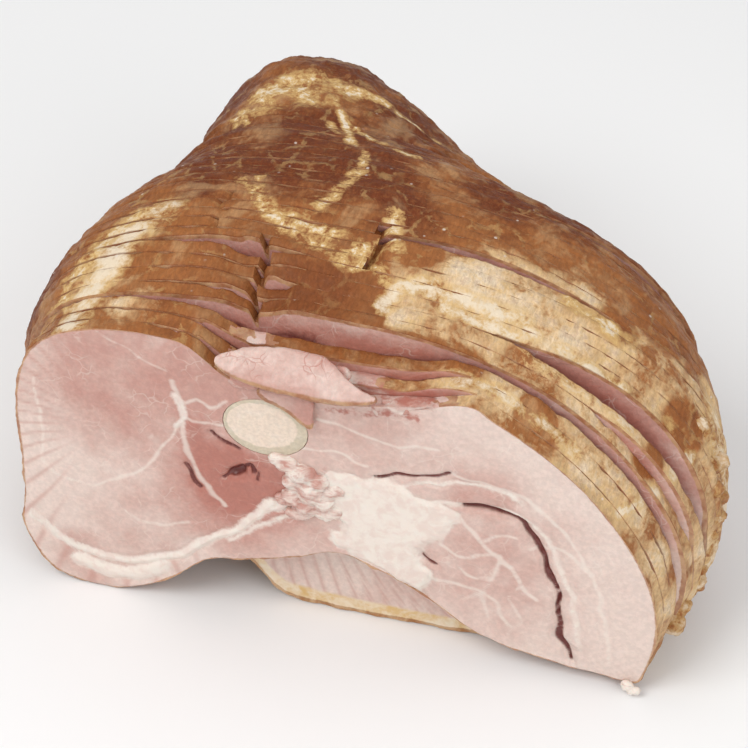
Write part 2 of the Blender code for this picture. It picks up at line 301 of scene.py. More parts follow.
def spline(points, count=None, step=None, closed=False):
    """Points along a Catmull-Rom curve through points, evenly spaced by their first two columns."""
    p = np.array(points, float)
    n = len(p)
    fine = []
    for i in range(n if closed else n - 1):
        a, b, c, d = (p[(i + k) % n] if closed else p[min(max(i + k, 0), n - 1)] for k in (-1, 0, 1, 2))
        for t in np.arange(0, 1, 1 / 16):
            fine.append(b + 0.5 * t * (c - a + t * (2 * a - 5 * b + 4 * c - d + t * (3 * b - a - 3 * c + d))))
    fine.append(p[0] if closed else p[-1])
    fine = np.array(fine)
    run = np.concatenate([[0], np.cumsum(np.linalg.norm(np.diff(fine[:, :2], axis=0), axis=1))])
    count = count or max(int(run[-1] / step), 2)
    at = np.linspace(0, run[-1], count, endpoint=not closed)
    return np.stack([np.interp(at, run, column) for column in fine.T], axis=1)


def ease(t):
    """0 to 1 along a smooth step."""
    t = np.clip(t, 0, 1)
    return t * t * (3 - 2 * t)


def path_distance(points, path):
    """How far each point lies from a path of straight stretches."""
    best = np.full(len(points), np.inf)
    for a, b in zip(path, path[1:]):
        along = b - a
        share = np.clip(((points - a) @ along) / (along @ along + 1e-9), 0, 1)
        best = np.minimum(best, np.linalg.norm(points - a - share[:, None] * along, axis=1))
    return best


# The length of the straight stretches that stand for a smooth line.
LINE_STEP = 2.0


def line_distance(points, line):
    """How far each (x, z) point lies from a smooth line."""
    return path_distance(points, spline(line, step=LINE_STEP))


def area_distance(points, area):
    """How far each (x, z) point lies inside a closed area. It is negative outside."""
    edge = spline(area, step=LINE_STEP, closed=True)
    edge = np.vstack([edge, edge[:1]])
    inside = np.zeros(len(points), bool)
    for a, b in zip(edge, edge[1:]):
        crosses = (a[1] > points[:, 1]) != (b[1] > points[:, 1])
        slope = (b[0] - a[0]) / (b[1] - a[1] + 1e-12)
        inside ^= crosses & (points[:, 0] < a[0] + (points[:, 1] - a[1]) * slope)
    away = path_distance(points, edge)
    return np.where(inside, away, -away)


def rough(points, size, seed=0.0):
    """Smooth noise from -1 to 1 at each point, with lumps of this size."""
    shift = Vector((seed * 7.1, seed * 3.3, seed * 5.7))
    return np.array([noise.noise(Vector(point) / size + shift) for point in points])


def deepest(depths):
    """0 to 1: the greatest of these depths at each point, where -1 gives 0, 0 a half, and 1 gives 1."""
    return np.clip(np.max(depths, axis=0) * 0.5 + 0.5, 0, 1)


def patch_mask(points, patches):
    """0 to 1: how deep each point lies in the nearest of these round patches."""
    return deepest([1 - np.linalg.norm(points - patch[:3], axis=1) / patch[3] for patch in patches])


def streak_mask(points, streaks):
    """0 to 1: how deep each point lies in the nearest of these bands, as half width and (x, y, z) line."""
    wander = 1.6 * rough(points, 7.0, 4.0) + 1.2 * rough(points, 2.8, 7.0)
    depths = []
    for half_width, line in streaks:
        away = path_distance(points, np.array(line, float))
        depths.append((half_width - away + wander * min(half_width / 3, 1)) / half_width)
    return deepest(depths)


def from_bone(points, depth):
    """How far each point lies from the bone's middle at this depth."""
    x, z, _, _ = bone_at(depth)
    return np.hypot(points[:, 0] - x, points[:, 2] - z)


def rim_of(name):
    """A slice's rim from its solid: x, z, front and back depth, in order round the bone."""
    points = points_of(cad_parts[name])
    depth = points[:, 1].mean()
    pairs = {}
    for point in points[from_bone(points, depth) > BORE_REACH]:
        pairs.setdefault((round(point[0] * 20), round(point[2] * 20)), []).append(point)
    rim = []
    for pair in pairs.values():
        pair = np.array(pair)
        if np.ptp(pair[:, 1]) > 1:
            rim.append([pair[0, 0], pair[0, 2], pair[:, 1].min(), pair[:, 1].max()])
    x, z, _, _ = bone_at(depth)
    return np.array(sorted(rim, key=lambda row: math.atan2(row[1] - z, row[0] - x)))


def shank_rim():
    """The outline of the uncut end where it meets the last slice, as x and z."""
    points = points_of(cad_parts["shank_end"])
    start = points[:, 1].min()
    front = points[points[:, 1] < start + 0.1]
    return front[from_bone(front, start) > BORE_REACH][:, [0, 2]]


def select_only(obj):
    bpy.ops.object.select_all(action="DESELECT")
    obj.select_set(True)
    bpy.context.view_layer.objects.active = obj


def store_marks(obj, marks):
    """Keeps values for the vertices as attributes for the materials. One that isn't there reads as 0."""
    for label, values in marks.items():
        layer = obj.data.attributes.new(label, "FLOAT", "POINT")
        layer.data.foreach_set("value", np.asarray(values, np.float32).ravel())


def coat(obj, *finishes):
    """Gives an object these materials in place of its own."""
    obj.data.materials.clear()
    for finish in finishes:
        obj.data.materials.append(material(finish))


def wrapped_grid(name, rows, slots, marks):
    """A grid primitive laid over rows of points, [around][section], and closed up where its edges meet."""
    around, section = rows.shape[:2]
    bpy.ops.mesh.primitive_grid_add(x_subdivisions=section, y_subdivisions=around, size=1)
    obj = bpy.context.active_object
    obj.name = obj.data.name = name
    wrap = np.ix_(np.arange(around + 1) % around, np.arange(section + 1) % section)
    obj.data.vertices.foreach_set("co", to_frame(rows[wrap]).ravel())
    store_marks(obj, {label: values.reshape(around, section)[wrap] for label, values in marks.items()})
    coat(obj, "cut", "rind")
    obj.data.polygons.foreach_set("material_index", slots.ravel().astype(np.int32))
    bpy.ops.object.transform_apply(location=True, rotation=True, scale=True)
    select_only(obj)
    bpy.ops.object.mode_set(mode="EDIT")
    bpy.ops.mesh.select_all(action="SELECT")
    bpy.ops.mesh.remove_doubles(threshold=0.000002)
    bpy.ops.mesh.normals_make_consistent(inside=False)
    bpy.ops.object.mode_set(mode="OBJECT")
    bpy.ops.object.shade_smooth_by_angle(angle=math.radians(50))
    return obj


def copy_of(node, name):
    """A copy of a solid's mesh as an object of its own, its loose triangles merged into quads where flat."""
    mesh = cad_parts[node].data.copy()
    obj = bpy.data.objects.new(name, mesh)
    mesh.name = name
    bpy.context.scene.collection.objects.link(obj)
    select_only(obj)
    bpy.ops.object.mode_set(mode="EDIT")
    bpy.ops.mesh.select_all(action="SELECT")
    bpy.ops.mesh.remove_doubles(threshold=0.00001)
    bpy.ops.mesh.tris_convert_to_quads()
    bpy.ops.object.mode_set(mode="OBJECT")
    bpy.ops.object.shade_smooth()
    return obj


def modify(obj, kind, **settings):
    """Adds a modifier with these settings and applies it."""
    select_only(obj)
    bpy.ops.object.modifier_add(type=kind)
    modifier = obj.modifiers[-1]
    for name, value in settings.items():
        setattr(modifier, name, value)
    bpy.ops.object.modifier_apply(modifier=modifier.name)


def weigh(obj, label, values):
    """A vertex group whose weights are these values, in tenths."""
    group = obj.vertex_groups.new(name=label)
    for level in range(1, 11):
        chosen = np.flatnonzero(np.round(values * 10) == level)
        if len(chosen):
            group.add([int(i) for i in chosen], level / 10, "REPLACE")


def roughen(obj, group, label, size, height):
    """Raises and sinks the surface by clouds of this size and height, where the vertex group weighs in."""
    texture = bpy.data.textures.new(label, "CLOUDS")
    texture.noise_scale = size * MM
    texture.noise_depth = 3
    modify(obj, "DISPLACE", texture=texture, texture_coords="LOCAL", strength=2 * height * MM,
           vertex_group=group)


def settle(obj):
    """Presses what lies below the table's height up onto it."""
    for vertex in obj.data.vertices:
        if vertex.co.z < 0:
            vertex.co.z = 0
    obj.data.update()


def place(obj, slot, *nodes):
    settle(obj)
    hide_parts(*nodes)
    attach(obj, "root")


# Shader building.


def add(tree, kind, values=(), **settings):
    """A new node with these settings. values gives its inputs, as numbers or as sockets to link."""
    made = tree.nodes.new(kind)
    for name, value in settings.items():
        setattr(made, name, value)
    for socket, value in dict(values).items():
        if isinstance(value, bpy.types.NodeSocket):
            tree.links.new(value, made.inputs[socket])
        else:
            made.inputs[socket].default_value = value
    return made


def use_group(tree, group, **values):
    return add(tree, "ShaderNodeGroup", values, node_tree=group).outputs


def mix(tree, share, below, above, blend="MIX"):
    """Two colours mixed, each a socket or a colour."""
    below, above = (part if isinstance(part, bpy.types.NodeSocket) else (*part, 1.0)
                    for part in (below, above))
    made = add(tree, "ShaderNodeMix", {0: share, 6: below, 7: above}, data_type="RGBA", blend_type=blend)
    return made.outputs[2]


def remap(tree, value, low, high, to_low=0.0, to_high=1.0):
    made = add(tree, "ShaderNodeMapRange", {0: value, 1: low, 2: high, 3: to_low, 4: to_high},
               interpolation_type="SMOOTHSTEP")
    return made.outputs[0]


def tint(tree, below, above, value, low, high, least=0.0, most=1.0):
    """The colour below, turned into the one above as a value goes from low to high."""
    return mix(tree, remap(tree, value, low, high, least, most), below, above)


def calc(tree, operation, a, b=0.0):
    return add(tree, "ShaderNodeMath", {0: a, 1: b}, operation=operation).outputs[0]


def times(tree, a, b):
    return calc(tree, "MULTIPLY", a, b)


def plus(tree, value, other, share):
    """A value and a share of another."""
    return calc(tree, "ADD", value, times(tree, other, share))


def vary(tree, value, cloud, amount):
    """A value moved up and down by noise that lies round a half."""
    return plus(tree, value, calc(tree, "SUBTRACT", cloud, 0.5), amount)


def noise_at(tree, spot, size, detail=3.0, rough_share=0.55, warp=0.0):
    made = add(tree, "ShaderNodeTexNoise", {
        "Vector": spot, "Scale": 1 / size, "Detail": detail, "Roughness": rough_share, "Distortion": warp,
    })
    return made.outputs["Fac"]


def cell_distance(tree, spot, scale, feature):
    """How far a spot lies from the middle (F1) or the edge (DISTANCE_TO_EDGE) of its cell."""
    return add(tree, "ShaderNodeTexVoronoi", {"Vector": spot, "Scale": scale},
               feature=feature).outputs["Distance"]


def attribute(tree, name):
    return add(tree, "ShaderNodeAttribute", attribute_name=name).outputs["Fac"]


def millimetres(tree):
    """The surface's own place, in millimetres."""
    spot = add(tree, "ShaderNodeTexCoord").outputs["Object"]
    return add(tree, "ShaderNodeVectorMath", {0: spot, 1: (1000, 1000, 1000)},
               operation="MULTIPLY").outputs[0]


def stretched(tree, spot, scale):
    return add(tree, "ShaderNodeMapping", {"Vector": spot, "Scale": scale}).outputs[0]


def new_group(name, inputs, outputs):
    """An empty node group with these named inputs and outputs, and its input and output nodes."""
    group = bpy.data.node_groups.new(name, "ShaderNodeTree")
    for label, kind in inputs:
        group.interface.new_socket(name=label, in_out="INPUT", socket_type=kind)
    for label, kind in outputs:
        group.interface.new_socket(name=label, in_out="OUTPUT", socket_type=kind)
    return group, group.nodes.new("NodeGroupInput").outputs, group.nodes.new("NodeGroupOutput").inputs


def marbling_group():
    """Thin branching threads of fat through lean meat."""
    group, given, wanted = new_group(
        "Marbling",
        [("Place", "NodeSocketVector"), ("Cell", "NodeSocketFloat"), ("Thickness", "NodeSocketFloat")],
        [("Threads", "NodeSocketFloat")],
    )
    spot = given["Place"]
    sway = add(group, "ShaderNodeTexNoise", {"Vector": spot, "Scale": 0.11, "Detail": 2.0})
    moved = add(group, "ShaderNodeVectorMath", {0: sway.outputs["Color"], 1: (9, 9, 9)}, operation="MULTIPLY")
    moved = add(group, "ShaderNodeVectorMath", {0: moved.outputs[0], 1: spot}, operation="ADD")
    edges = cell_distance(group, moved.outputs[0], calc(group, "DIVIDE", 1.0, given["Cell"]),
                          "DISTANCE_TO_EDGE")
    threads = remap(group, edges, 0.0, given["Thickness"], 1.0, 0.0)
    some = remap(group, noise_at(group, spot, 14.0, 2.0), 0.46, 0.62)
    group.links.new(times(group, threads, some), wanted["Threads"])
    return group


def grain_group():
    """Fine uneven grain: a value that varies round a half, and a height for bumps."""
    group, given, wanted = new_group(
        "Grain",
        [("Place", "NodeSocketVector"), ("Size", "NodeSocketFloat")],
        [("Value", "NodeSocketFloat"), ("Height", "NodeSocketFloat")],
    )
    spot = given["Place"]
    scale = calc(group, "DIVIDE", 1.0, given["Size"])
    fine = add(group, "ShaderNodeTexNoise", {"Vector": spot, "Scale": scale, "Detail": 4.0, "Roughness": 0.6})
    pits = cell_distance(group, spot, scale, "F1")
    group.links.new(fine.outputs["Fac"], wanted["Value"])
    group.links.new(plus(group, fine.outputs["Fac"], pits, 0.35), wanted["Height"])
    return group


def new_material(name):
    made = bpy.data.materials.new(name)
    made.use_nodes = True
    return made, made.node_tree, made.node_tree.nodes["Principled BSDF"].inputs


def finish_material(tree, surface, colour, roughness, height, bump_mm, specular=0.5, soft=0.0):
    tree.links.new(colour, surface["Base Color"])
    tree.links.new(roughness, surface["Roughness"])
    surface["Specular IOR Level"].default_value = specular
    if soft:
        surface["Subsurface Weight"].default_value = soft
        surface["Subsurface Radius"].default_value = (1.0, 0.35, 0.25)
        surface["Subsurface Scale"].default_value = 0.003
    bump = add(tree, "ShaderNodeBump", {"Strength": 1.0, "Distance": bump_mm * MM, "Height": height})
    tree.links.new(bump.outputs[0], surface["Normal"])


def cut_meat(colours, marbling, grains):
    """Cut ham: pale to dark lean, fat in seams and threads, open cracks painted dark as shade, and the rind's
    edge round it.
    """
    made, tree, surface = new_material("cut_meat")
    spot = millimetres(tree)
    grain = use_group(tree, grains, Place=spot, Size=1.6)
    broad = noise_at(tree, spot, 16.0, 3.0)
    middle = noise_at(tree, spot, 5.0, 4.0, 0.6, 0.4)
    rosy = vary(tree, vary(tree, attribute(tree, "rosy"), broad, 0.7), middle, 0.4)
    colour = tint(tree, colours.pale, colours.rosy, rosy, -0.05, 1.0)
    dark = vary(tree, attribute(tree, "dark"), middle, 9.0)
    colour = tint(tree, colour, colours.dark, dark, -5.0, 5.0, 0.0, 0.85)
    colour = mix(tree, 1.0, colour, remap(tree, grain["Value"], 0.35, 0.7, 0.93, 1.05), "MULTIPLY")
    threads = use_group(tree, marbling, Place=spot, Cell=8.0, Thickness=0.035)["Threads"]
    colour = mix(tree, times(tree, threads, 0.28), colour, colours.fat)
    drawn = vary(tree, attribute(tree, "thread"), noise_at(tree, spot, 3.0, 3.0), 1.1)
    colour = tint(tree, colour, colours.fat, drawn, -0.6, 0.6, 0.0, 0.6)
    loose = attribute(tree, "dry")
    lines = use_group(tree, marbling, Place=spot, Cell=5.0, Thickness=0.05)["Threads"]
    colour = mix(tree, times(tree, times(tree, lines, loose), 0.6), colour, colours.dark)
    colour = mix(tree, times(tree, attribute(tree, "knife"), 0.55), colour, colours.rosy)
    ragged = vary(tree, vary(tree, 0.0, noise_at(tree, spot, 2.6, 4.0, 0.65), 2.6), middle, 3.0)
    fat_tint = tint(tree, colours.fat, colours.pale, middle, 0.42, 0.64, 0.0, 0.75)
    colour = tint(tree, colour, fat_tint, calc(tree, "ADD", attribute(tree, "fat"), ragged), -0.9, 0.9)
    # Painted shade: the crack mark darkens the insides of cracks, and the widest gap's walls away from the
    # rim.
    crack_shade = remap(tree, plus(tree, attribute(tree, "crack_shade"), ragged, 0.2), -0.4, 0.25)
    colour = mix(tree, crack_shade, colour, colours.crack_shade)
    uneven = calc(tree, "SUBTRACT", 0.35, times(tree, loose, 0.2))
    edge = plus(tree, attribute(tree, "edge"), ragged, uneven)
    rind_fat = tint(tree, colours.yellow, colours.cream, middle, 0.3, 0.7)
    shown = times(tree, remap(tree, edge, 5.0, 7.0, 1.0, 0.0), attribute(tree, "yellow_rind"))
    colour = mix(tree, shown, colour, rind_fat)
    skin = tint(tree, colours.brown, colours.tan, middle, 0.35, 0.65, 0.0, 0.55)
    colour = tint(tree, colour, skin, edge, 0.45, 1.0, 0.85, 0.0)
    blood = plus(tree, attribute(tree, "blood"), ragged, 0.5)
    colour = tint(tree, colour, colours.dark, blood, 0.65, 1.25, 0.0, 0.95)
    height = calc(tree, "SUBTRACT", plus(tree, grain["Height"], middle, 1.5), times(tree, crack_shade, 2.0))
    roughness = remap(tree, noise_at(tree, spot, 9.0, 3.0), 0.3, 0.7, 0.3, 0.5)
    finish_material(tree, surface, colour, roughness, height, 0.22, 0.5, 0.12)
    return made


def rind(colours, grains):
    """Browned rind: dark to tan skin, with ragged patches of cream and yellow fat and pale flecks, and
    painted shade along its edge where slices have parted.
    """
    made, tree, surface = new_material("browned_rind")
    spot = millimetres(tree)
    grain = use_group(tree, grains, Place=spot, Size=1.1)
    fibres = noise_at(tree, stretched(tree, spot, (1.0, 0.3, 0.6)), 1.1, 4.0, 0.6, 0.5)
    broad = noise_at(tree, spot, 20.0, 4.0, 0.6, 0.6)
    middle = noise_at(tree, spot, 6.0, 5.0, 0.65, 0.8)
    fine = noise_at(tree, spot, 1.8, 4.0, 0.7, 0.4)
    ragged = vary(tree, calc(tree, "SUBTRACT", middle, 0.5), fine, 0.6)
    wide = vary(tree, ragged, broad, 0.8)
    dark = plus(tree, attribute(tree, "smoked"), wide, 0.9)
    colour = tint(tree, colours.brown, colours.smoked, dark, 0.3, 0.8)
    colour = tint(tree, colour, colours.smoked, broad, 0.5, 0.66, 0.0, 0.45)
    colour = tint(tree, colour, colours.tan, broad, 0.34, 0.48, 0.3, 0.0)
    tan = plus(tree, attribute(tree, "tan"), wide, 0.8)
    amber = tint(tree, colours.brown, colours.tan, broad, 0.4, 0.62)
    colour = tint(tree, colour, amber, tan, 0.3, 0.65)
    colour = tint(tree, colour, colours.tan, tan, 0.6, 0.9)
    colour = tint(tree, colour, colours.cream, tan, 0.74, 1.15, 0.0, 0.8)
    colour = tint(tree, colour, colours.brown, vary(tree, fine, middle, 0.6), 0.5, 0.68, 0.0, 0.35)
    veins = plus(tree, cell_distance(tree, spot, 0.09, "DISTANCE_TO_EDGE"), ragged, 0.5)
    veins = times(tree, remap(tree, veins, 0.0, 0.07, 1.0, 0.0), remap(tree, broad, 0.48, 0.6, 0.0, 0.3))
    colour = mix(tree, veins, colour, colours.yellow)
    plate = mix(tree, 0.45, colours.brown, colours.smoked)
    colour = mix(tree, times(tree, attribute(tree, "plate"), 0.6), colour, plate)
    colour = mix(tree, 1.0, colour, remap(tree, fibres, 0.3, 0.72, 0.84, 1.14), "MULTIPLY")
    yellow = times(tree, attribute(tree, "yellow"), plus(tree, 1.0, wide, 3.4))
    orange = mix(tree, 0.55, colours.brown, colours.yellow)
    colour = tint(tree, colour, orange, yellow, 0.35, 0.7, 0.0, 0.8)
    colour = tint(tree, colour, colours.yellow, yellow, 0.62, 1.0, 0.0, 0.85)
    colour = tint(tree, colour, colours.cream, yellow, 0.9, 1.35, 0.0, 0.9)
    cream = times(tree, attribute(tree, "cream"), plus(tree, 1.0, wide, 2.6))
    colour = tint(tree, colour, colours.yellow, cream, 0.35, 0.6, 0.0, 0.5)
    colour = tint(tree, colour, colours.cream, cream, 0.5, 1.2, 0.0, 0.85)
    # Painted shade: the seam mark darkens the rind's edge where a neighbouring slice has parted from it.
    seam = plus(tree, attribute(tree, "seam"), ragged, 0.6)
    colour = tint(tree, colour, colours.smoked, seam, 0.3, 0.95, 0.0, 0.6)
    flecks = remap(tree, cell_distance(tree, spot, 0.16, "F1"), 0.05, 0.12, 0.6, 0.0)
    colour = mix(tree, times(tree, flecks, remap(tree, broad, 0.5, 0.6)), colour, colours.fat)
    height = plus(tree, plus(tree, times(tree, grain["Height"], 0.7), fibres, 0.35), middle, 1.2)
    finish_material(tree, surface, colour, remap(tree, middle, 0.3, 0.7, 0.42, 0.66), height, 0.4, 0.22)
    return made


def sawn_bone(colours, grains):
    """Bone: a pale porous middle inside a darker edge of compact bone, which is drawn wider on its lower
    right as painted shade.
    """
    made, tree, surface = new_material("sawn_bone")
    spot = millimetres(tree)
    grain = use_group(tree, grains, Place=spot, Size=1.3)
    cloud = noise_at(tree, spot, 5.0, 4.0, 0.6)
    # The darker band is the compact edge of the bone, drawn wider on its lower right as painted shade.
    hard_rim_and_shade = vary(tree, attribute(tree, "hard_rim_and_shade"), cloud, 0.22)
    colour = tint(tree, colours.bone, colours.bone_rim, hard_rim_and_shade, 0.80, 0.86)
    colour = tint(tree, colour, colours.fat, cloud, 0.5, 0.75, 0.0, 0.35)
    colour = mix(tree, 1.0, colour, remap(tree, grain["Value"], 0.3, 0.7, 0.9, 1.05), "MULTIPLY")
    finish_material(tree, surface, colour, remap(tree, cloud, 0.3, 0.7, 0.45, 0.65), grain["Height"], 0.2,
                    0.4, 0.1)
    return made


def trimmings(colours, grains):
    """Torn meat and gristle: pink flesh streaked with white sinew."""
    made, tree, surface = new_material("torn_meat")
    spot = millimetres(tree)
    grain = use_group(tree, grains, Place=spot, Size=1.2)
    strands = noise_at(tree, stretched(tree, spot, (0.5, 1.0, 1.6)), 4.0, 4.0, 0.6, 1.0)
    colour = tint(tree, colours.fat, colours.rosy, vary(tree, attribute(tree, "raw"), strands, 2.2), 0.0, 0.9)
    colour = tint(tree, colour, colours.dark, strands, 0.3, 0.42, 0.5, 0.0)
    roughness = remap(tree, strands, 0.3, 0.7, 0.28, 0.45)
    finish_material(tree, surface, colour, roughness, grain["Height"], 0.25, 0.5, 0.12)
    return made


MATERIALS = {}


def material(name):
    """The named material, made with the rest on first use."""
    if not MATERIALS:
        colours = bpy.context.scene.ham_colours
        grains = grain_group()
        MATERIALS["cut"] = cut_meat(colours, marbling_group(), grains)
        MATERIALS["rind"] = rind(colours, grains)
        MATERIALS["bone"] = sawn_bone(colours, grains)
        MATERIALS["torn"] = trimmings(colours, grains)
    return MATERIALS[name]


def plain_meat(count):
    """Marks of cut meat without fat seams, threads, cracks or dark muscle."""
    return {label: np.full(count, OUTSIDE) for label in ("fat", "thread", "dark", "crack_shade")}


def lines_depth(points, lines):
    """How far inside the nearest of these lines each (x, z) point lies."""
    depths = [half_width - line_distance(points, line) for half_width, line in lines]
    return np.maximum(np.max(depths, axis=0), OUTSIDE)


def face_marks(points):
    """The cut face's fat, dark meat, cracks (whose insides are painted dark as shade) and rosiness at (x, z)
    points, and its relief into the ham.
    """
    flat = np.stack([points[:, 0], points[:, 1], np.zeros(len(points))], axis=1)
    points = points + 1.5 * np.stack([rough(flat, 7.0, 11.0), rough(flat, 7.0, 12.0)], axis=1)
    pad = area_distance(points, FAT_PAD) + 3.5 * rough(flat, 8.0, 2.0) + 1.5 * rough(flat, 3.0, 3.0)
    fat = np.maximum(lines_depth(points, FAT_SEAMS), pad)
    small = area_distance(points, SMALL_MUSCLE)
    fat = np.where(small > 0, np.minimum(fat, -small), fat)
    crack_shade = np.full(len(points), OUTSIDE)
    relief = np.zeros(len(points))
    for half_width, depth, line in CRACKS:
        away = line_distance(points, line)
        crack_shade = np.maximum(crack_shade, half_width * (1 + 0.5 * rough(flat, 9.0, half_width)) - away)
        relief = np.maximum(relief, depth * np.exp(-((away / (half_width + 0.7)) ** 2)))
    rosy = np.zeros(len(points))
    for x, z, radius, strength in ROSY:
        away = np.hypot(points[:, 0] - x, points[:, 1] - z)
        rosy = np.maximum(rosy, strength * ease(1.25 - away / (1.6 * radius)))
    relief += 0.5 * np.exp(-(fat ** 2)) - 0.5 * ease(fat / 3)
    marks = {"fat": fat, "thread": lines_depth(points, THREADS), "dark": area_distance(points, DARK_MUSCLE),
             "crack_shade": crack_shade, "rosy": rosy}
    return marks, relief


# The fan of knife marks in the left lobe: its middle as (x, z), how many in a turn, and how far in they
# reach.
KNIFE_FAN = (-72, 78)
KNIFE_TURN = 40
KNIFE_REACH = 20.0
# How far apart the knife marks stand in the arch under the foremost slices.
ARCH_MARKS = 5.5


def knife_marks(points, edge):
    """Faint cuts that the blade's teeth left near the rim and in the arch, from 0 to 1."""
    turn = np.arctan2(points[:, 2] - KNIFE_FAN[1], points[:, 0] - KNIFE_FAN[0])
    lines = (0.5 + 0.5 * np.cos(KNIFE_TURN * turn + 1.5 * rough(points, 25.0, 8.0))) ** 7
    left = ease((-30 - points[:, 0]) / 25)
    upright = (0.5 + 0.5 * np.cos(2 * math.pi * (points[:, 0] + 0.25 * points[:, 2]) / ARCH_MARKS)) ** 6
    arch = ease((34 - points[:, 2]) / 6) * ease((60 - np.abs(points[:, 0])) / 10)
    arch *= ease((points[:, 1] - 6) / 2)
    return np.maximum(lines * left * ease(1.3 - edge / KNIFE_REACH), upright * arch)


# The dark plate behind the wide gap lies between these depths, and the bare strip before it between those.
PLATE = (17, 54)
STRIP = (10.5, 17.5)
# Both lie above this height.
PLATE_FOOT = 100
# The right edge of the dark plate, and the left edge of the rind beside the cream band, as x at each y.
PLATE_EDGE_Y = (18, 32, 42, 52)
PLATE_EDGE_X = (18, 15, 12.3, 9.9)
STREAK_EDGE_Y = (3, 10, 18, 27, 37, 50)
STREAK_EDGE_X = (-79, -79, -76, -75, -74, -67)


def rind_marks(points):
    """Where each point of the rind lies in its plate, its bands of fat, and its tan and dark patches."""
    x, y, z = points.T
    edge = np.interp(y, PLATE_EDGE_Y, PLATE_EDGE_X) + 1.2 * rough(points, 5.0, 6.0)
    left = np.interp(y, STREAK_EDGE_Y, STREAK_EDGE_X)
    on_plate = (y > PLATE[0]) & (y < PLATE[1]) & (z > PLATE_FOOT)
    plate = on_plate * np.minimum(ease((edge - x) / 1.5), ease((x - left - 18) / 26))
    strip = (y > STRIP[0]) & (y < STRIP[1]) & (x > -45) & (x < 34) & (z > PLATE_FOOT)
    beside = ((y > PLATE[0]) & (y < 60) & (z > 60)) * ease((x - edge) / 1.5)
    tan = np.maximum(patch_mask(points, TAN_PATCHES), 0.75 * beside)
    tan = tan * (1 - 0.75 * ease((patch_mask(points, BROWN_PATCHES) - 0.42) / 0.25))
    return {
        "plate": np.maximum(plate, 0.6 * strip),
        "cream": streak_mask(points, CREAM_STREAKS),
        "yellow": np.maximum(streak_mask(points, YELLOW_STREAKS), patch_mask(points, YELLOW_PATCHES)),
        "tan": tan * (1 - plate) * (1 - 0.8 * strip) + 0.42 * plate * ease((-34 - x) / 10) + 0.3 * strip,
        "smoked": patch_mask(points, DARK_PATCHES),
    }


# Shares of the way from bone to rim for the rings of a cut face, and of the way across a rim.
FEW_RINGS = (0.0, 0.35, 0.6, 0.76, 0.86, 0.92, 0.96, 0.985)
LAST_RING = 0.997
ACROSS_RIM = (0.0, 0.14, 0.38, 0.62, 0.86, 1.0)
# How much nearer each side of a slice comes to its neighbour than its solid does: where their rinds have
# parted, and where they still lie shut. Gaps wider than OPEN_FROM stay as they are.
CLOSER = 0.03
SHUT = 0.26
OPEN_FROM = 0.8
# Bites of the blade's teeth along the rims of the foremost slices.
SCALLOPS = 110
# Splits in the rind that run across slices: first and last slice, x, half width and depth.
SPLITS = ((4, 8, -29.0, 1.1, 5.0), (8, 11, 8.0, 1.3, 4.5), (9, 12, -49.0, 0.9, 1.5))
RIMS = [rim_of(name) for name in SLICES]
SHANK_RIM = shank_rim()
# A rim leans this far at most to meet its neighbour's, and not at all where the step between them is a
# torn one.
MOST_LEAN = 1.5
TORN_STEP = 3.6
# Behind this slice the ham narrows fast, so there a rim leans as far as it must.
LAST_GENTLE = 8
MOST_STEEP_LEAN = 6.5
# The slices on either side of the widest gap keep their step.
WIDE_STEP = {3, 4}
# The slices up to this one have finer rims.
LAST_FINE = 9
# The walls of the gaps are painted rosier and darker as shade above this height, and reach it within this
# rise.
WALL_FOOT = 50
WALL_RISE = 20
# Where the rind is torn off a slice's top, from one x to another, and the bloody lines below it.
TORN_RIND = {1: (-28, 40), 2: (-25, 16), 3: (-26, -21)}
BLOODY = (
    (5.0, ((4, 2, 109), (14, 3, 110.5), (24, 4, 112), (36, 4, 112.5))),
    (2.6, ((3, 0, 104), (12, 0, 105.5), (22, 0, 107), (33, 0, 107.5))),
)


def split_depth(number, x, z):
    """How deep the rind is split at each rim point."""
    depth = np.zeros(len(x))
    for first, last, at, half_width, deep in SPLITS:
        if first <= number <= last:
            wander = at + 1.2 * math.sin(2.1 * number)
            depth = np.maximum(depth, deep * ease(1.6 - np.abs(x - wander) / half_width) * (z > 95))
    return depth


def facing(rim, values, centre, turn):
    """A rim's values in each direction from a centre."""
    angle = np.arctan2(rim[:, 1] - centre[1], rim[:, 0] - centre[0])
    order = np.argsort(angle)
    return np.interp(turn, angle[order], values[order], period=2 * math.pi)


def leans(number, rim, centre, turn):
    """How far the front and the back edge of a slice's rim lean in or out to meet the next slices' rims."""
    found = []
    for other in (number - 1, number + 1):
        if other == 0 or {number, other} == WIDE_STEP:
            found.append(np.zeros(len(turn)))
            continue
        beside = SHANK_RIM if other > len(SLICES) else RIMS[other - 1]
        reach = facing(beside, np.linalg.norm(beside[:, :2] - centre, axis=1), centre, turn)
        step = reach - np.linalg.norm(rim[:, :2] - centre, axis=1)
        if other > len(SLICES):
            step = 2 * step
        if number > LAST_GENTLE:
            found.append(np.clip(step / 2, -MOST_STEEP_LEAN, MOST_STEEP_LEAN))
        else:
            found.append(np.clip(step / 2, -MOST_LEAN, MOST_LEAN) * ease(TORN_STEP + 1 - np.abs(step)))
    return found


